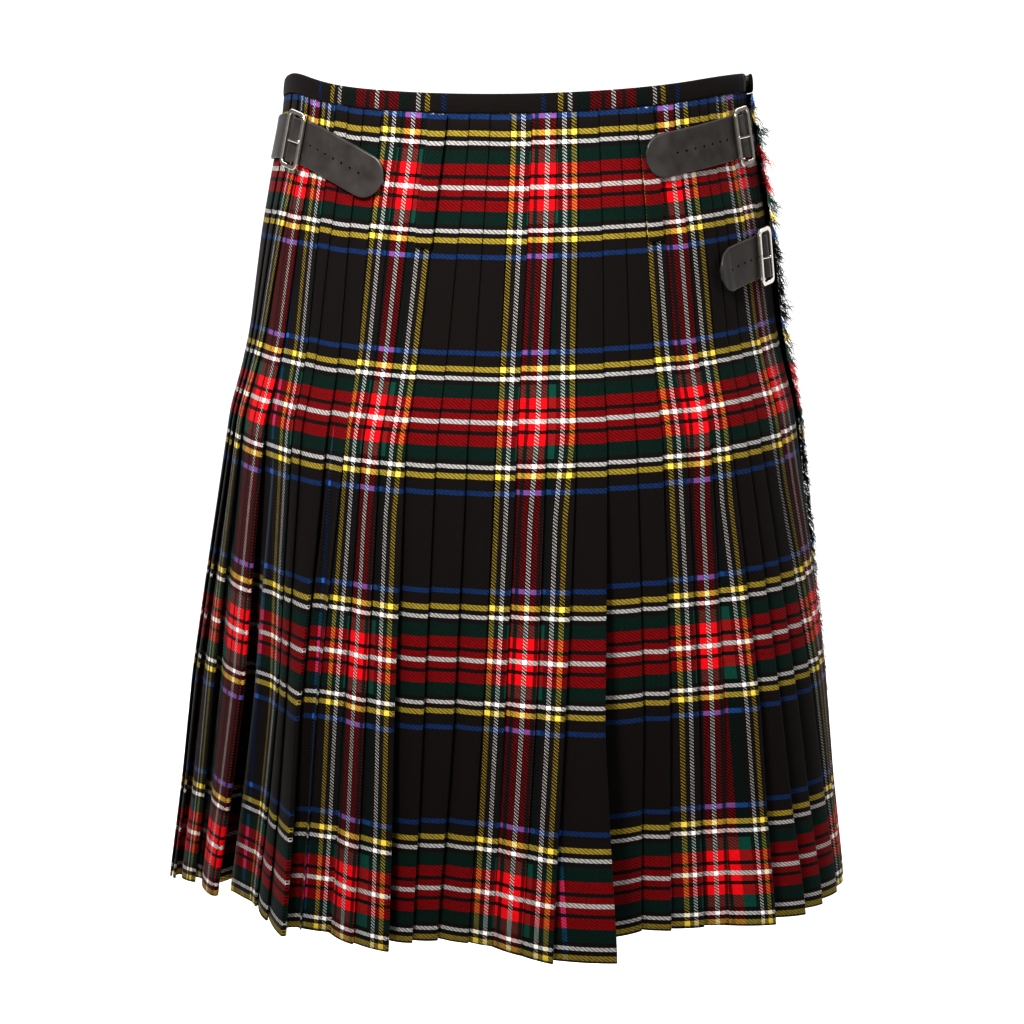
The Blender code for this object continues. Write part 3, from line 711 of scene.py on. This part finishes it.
def fixNormals(piece):
    bpy.context.view_layer.objects.active = piece
    bpy.ops.object.select_all(action="DESELECT")
    piece.select_set(True)
    bpy.ops.object.mode_set(mode="EDIT")
    bpy.ops.mesh.select_all(action="SELECT")
    bpy.ops.mesh.normals_make_consistent(inside=False)
    bpy.ops.object.mode_set(mode="OBJECT")


def punchHoles(piece, name, track):
    points, faces = [], []
    sides = 12
    for k in range(strapSet["holes"][name]):
        s = strapSet["holesFrom"][name] + k * strapSet["holeStep"]
        outer, inner = strapAt(track, s, 0.0, 0.003), strapAt(track, s, 0.0, -0.003)
        axis = Vector(outer - inner).normalized()
        side = axis.orthogonal().normalized()
        other = axis.cross(side)
        first = len(points)
        for end in (Vector(inner), Vector(outer)):
            for c in range(sides):
                a = 2 * math.pi * c / sides
                points.append(end + strapSet["hole"] * (math.cos(a) * side + math.sin(a) * other))
        faces.append(tuple(first + c for c in range(sides))[::-1])
        faces.append(tuple(first + sides + c for c in range(sides)))
        for c in range(sides):
            c2 = (c + 1) % sides
            faces.append((first + c, first + c2, first + sides + c2, first + sides + c))
    mesh = bpy.data.meshes.new(name + "_punches")
    mesh.from_pydata([tuple(p) for p in points], [], faces)
    punch = bpy.data.objects.new(name + "_punches", mesh)
    bpy.context.scene.collection.objects.link(punch)
    cut = piece.modifiers.new("holes", "BOOLEAN")
    cut.operation, cut.solver, cut.object = "DIFFERENCE", "EXACT", punch
    bpy.context.view_layer.update()
    whole = bpy.data.meshes.new_from_object(piece.evaluated_get(bpy.context.evaluated_depsgraph_get()))
    piece.modifiers.clear()
    piece.data = whole
    bpy.data.objects.remove(punch, do_unlink=True)
    whole.polygons.foreach_set("use_smooth", np.ones(len(whole.polygons), bool))


def leatherStrap(name, path):
    track = strapRun(path)
    half, thick = strapSet["half"], strapSet["thick"]
    tip = half * (1 - np.cos(np.linspace(0.12, math.pi / 2, 9)))
    stations = np.concatenate([[0.0], tip, np.arange(half + 0.003, track[0][-1], 0.003)])
    section = [(-1, 0.1), (-0.985, 0.34), (-0.95, 0.48), (-0.9, 0.5), (-0.5, 0.5), (0, 0.5), (0.5, 0.5),
               (0.9, 0.5), (0.95, 0.48), (0.985, 0.34), (1, 0.1), (1, -0.4), (0.96, -0.5), (0.5, -0.5),
               (0, -0.5), (-0.5, -0.5), (-0.96, -0.5), (-1, -0.4)]
    rings = []
    for s in stations:
        wide = half * max(0.06, 1 - max(0.0, 1 - s / half) ** 2.3) ** 0.5
        rings.append([strapAt(track, s, offset * wide, height * thick) for offset, height in section])
    rings = np.array(rings)
    count = len(section)
    faces = []
    for r in range(len(stations) - 1):
        for c in range(count):
            c2 = (c + 1) % count
            faces.append((r * count + c, r * count + c2, (r + 1) * count + c2, (r + 1) * count + c))
    last = (len(stations) - 1) * count
    faces += [tuple(range(count))[::-1], tuple(last + c for c in range(count))]
    piece = newPiece(name + "_leather", rings.reshape(-1, 3), faces, blackLeather)
    fixNormals(piece)
    punchHoles(piece, name, track)
    piece.data.set_sharp_from_angle(angle=math.radians(50))
    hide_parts(name + "_strap")
    return piece


for name, path in strapSet["paths"].items():
    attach(leatherStrap(name, path), "root")
for name, node in nodes.items():
    if "buckle" in name:
        node.data.materials.clear()
        node.data.materials.append(nickel)
    elif "chape" in name:
        node.data.materials.clear()
        node.data.materials.append(blackLeather)
print("straps made")

studio = {
    "camera": (-0.0025, -4.36, 0.811), "pitch": 14.67, "lens": 218.0,
    "floorBelow": 0.42, "floor": "FAFAFA",
    "world": 0.16,
    # position, size, watts and spread in degrees of each soft light, and the height it aims at
    "lights": {
        "overhead": ((0.0, 3.0, 6.0), 18.0, 1080.0, 180, -0.25),
        "key": ((-0.9, -2.0, 1.6), 0.6, 5.4, 34, -0.02),
        "fill": ((2.2, -2.4, 1.5), 1.0, 2.6, 46, -0.06),
    },
    "look": "High Contrast",
}


def makeStudio():
    scene = bpy.context.scene
    camera = bpy.data.cameras.new("camera")
    camera.lens, camera.sensor_width = studio["lens"], 36.0
    camera.clip_end = 100.0
    eye = bpy.data.objects.new("camera", camera)
    eye.location = studio["camera"]
    eye.rotation_euler = (math.radians(90 - studio["pitch"]), 0, 0)
    scene.collection.objects.link(eye)
    scene.camera = eye
    bpy.ops.mesh.primitive_plane_add(size=60, location=(0, 0, cadLow.z - studio["floorBelow"]))
    floor = bpy.context.object
    floor.name = "studio_floor"
    # Pale matt paper, white enough to melt into the background.
    made, _, shader = newMaterial("pale_paper")
    shader.inputs["Base Color"].default_value = linear(studio["floor"])
    shader.inputs["Roughness"].default_value = 0.9
    floor.data.materials.append(made)
    world = bpy.data.worlds.new("studio")
    scene.world = world
    world.use_nodes = True
    sky = world.node_tree.nodes["Background"]
    sky.inputs[0].default_value = (1, 1, 1, 1)
    sky.inputs[1].default_value = studio["world"]
    for label, (at, size, power, spread, aim) in studio["lights"].items():
        lamp = bpy.data.lights.new(label, "AREA")
        lamp.size, lamp.energy, lamp.spread = size, power, math.radians(spread)
        light = bpy.data.objects.new(label, lamp)
        light.location = at
        light.rotation_euler = (Vector((0, 0, aim)) - Vector(at)).to_track_quat("-Z", "Y").to_euler()
        scene.collection.objects.link(light)
    scene.view_settings.view_transform = "Standard"
    scene.view_settings.look = studio["look"]


makeStudio()
print("scene ready")
